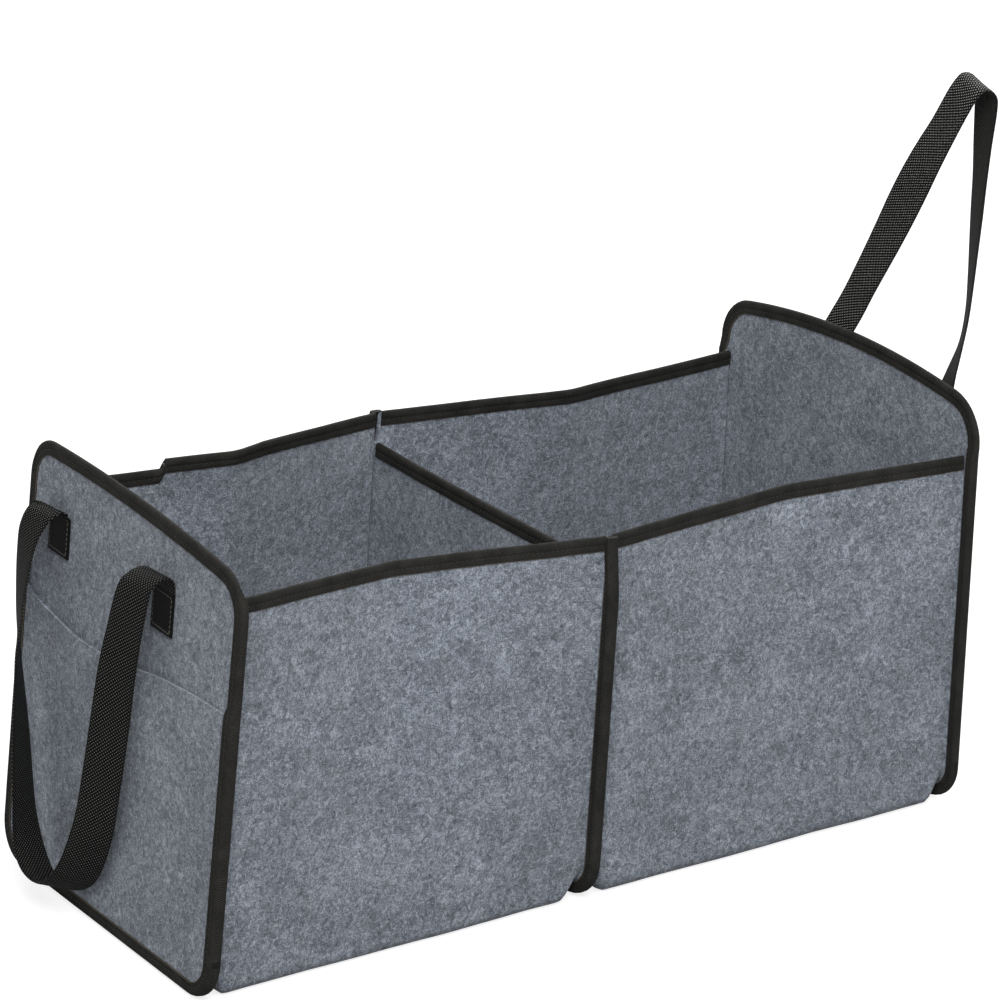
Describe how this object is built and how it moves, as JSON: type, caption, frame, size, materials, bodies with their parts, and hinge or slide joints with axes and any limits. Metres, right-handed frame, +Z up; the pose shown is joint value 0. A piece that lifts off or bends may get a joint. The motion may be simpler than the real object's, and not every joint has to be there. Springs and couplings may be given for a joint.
{
  "type": "trunk bag",
  "caption": "Open felt trunk bag with a divider between two compartments, bound edges, a patch pocket on one end and a webbing handle on each end.",
  "frame": {"origin": "on the floor, under the middle of the bag and its handles", "axes": "+X along the bag from the end with the pocket to the other end, +Y from the front walls to the back walls, +Z up"},
  "size_m": [0.6008, 0.256, 0.4588],
  "materials": {
    "felt": "mottled blue-grey needle felt, matte and slightly fuzzy",
    "tape": "black twill binding tape, matte, with stitching",
    "webbing": "black woven webbing with a low sheen"
  },
  "bodies": {
    "root": {"left_body_felt": "felt", "right_body_felt": "felt", "left_end_panel": "felt", "right_end_panel": "felt", "left_end_pocket": "felt", "divider_panel": "felt", "left_end_binding": "tape", "right_end_binding": "tape", "middle_seam_binding": "tape", "front_left_top_binding": "tape", "front_right_top_binding": "tape", "back_left_low_binding": "tape", "back_left_top_binding": "tape", "back_right_top_binding": "tape", "divider_top_binding": "tape", "left_handle": "webbing", "right_handle": "webbing"}
  },
  "joints": []
}
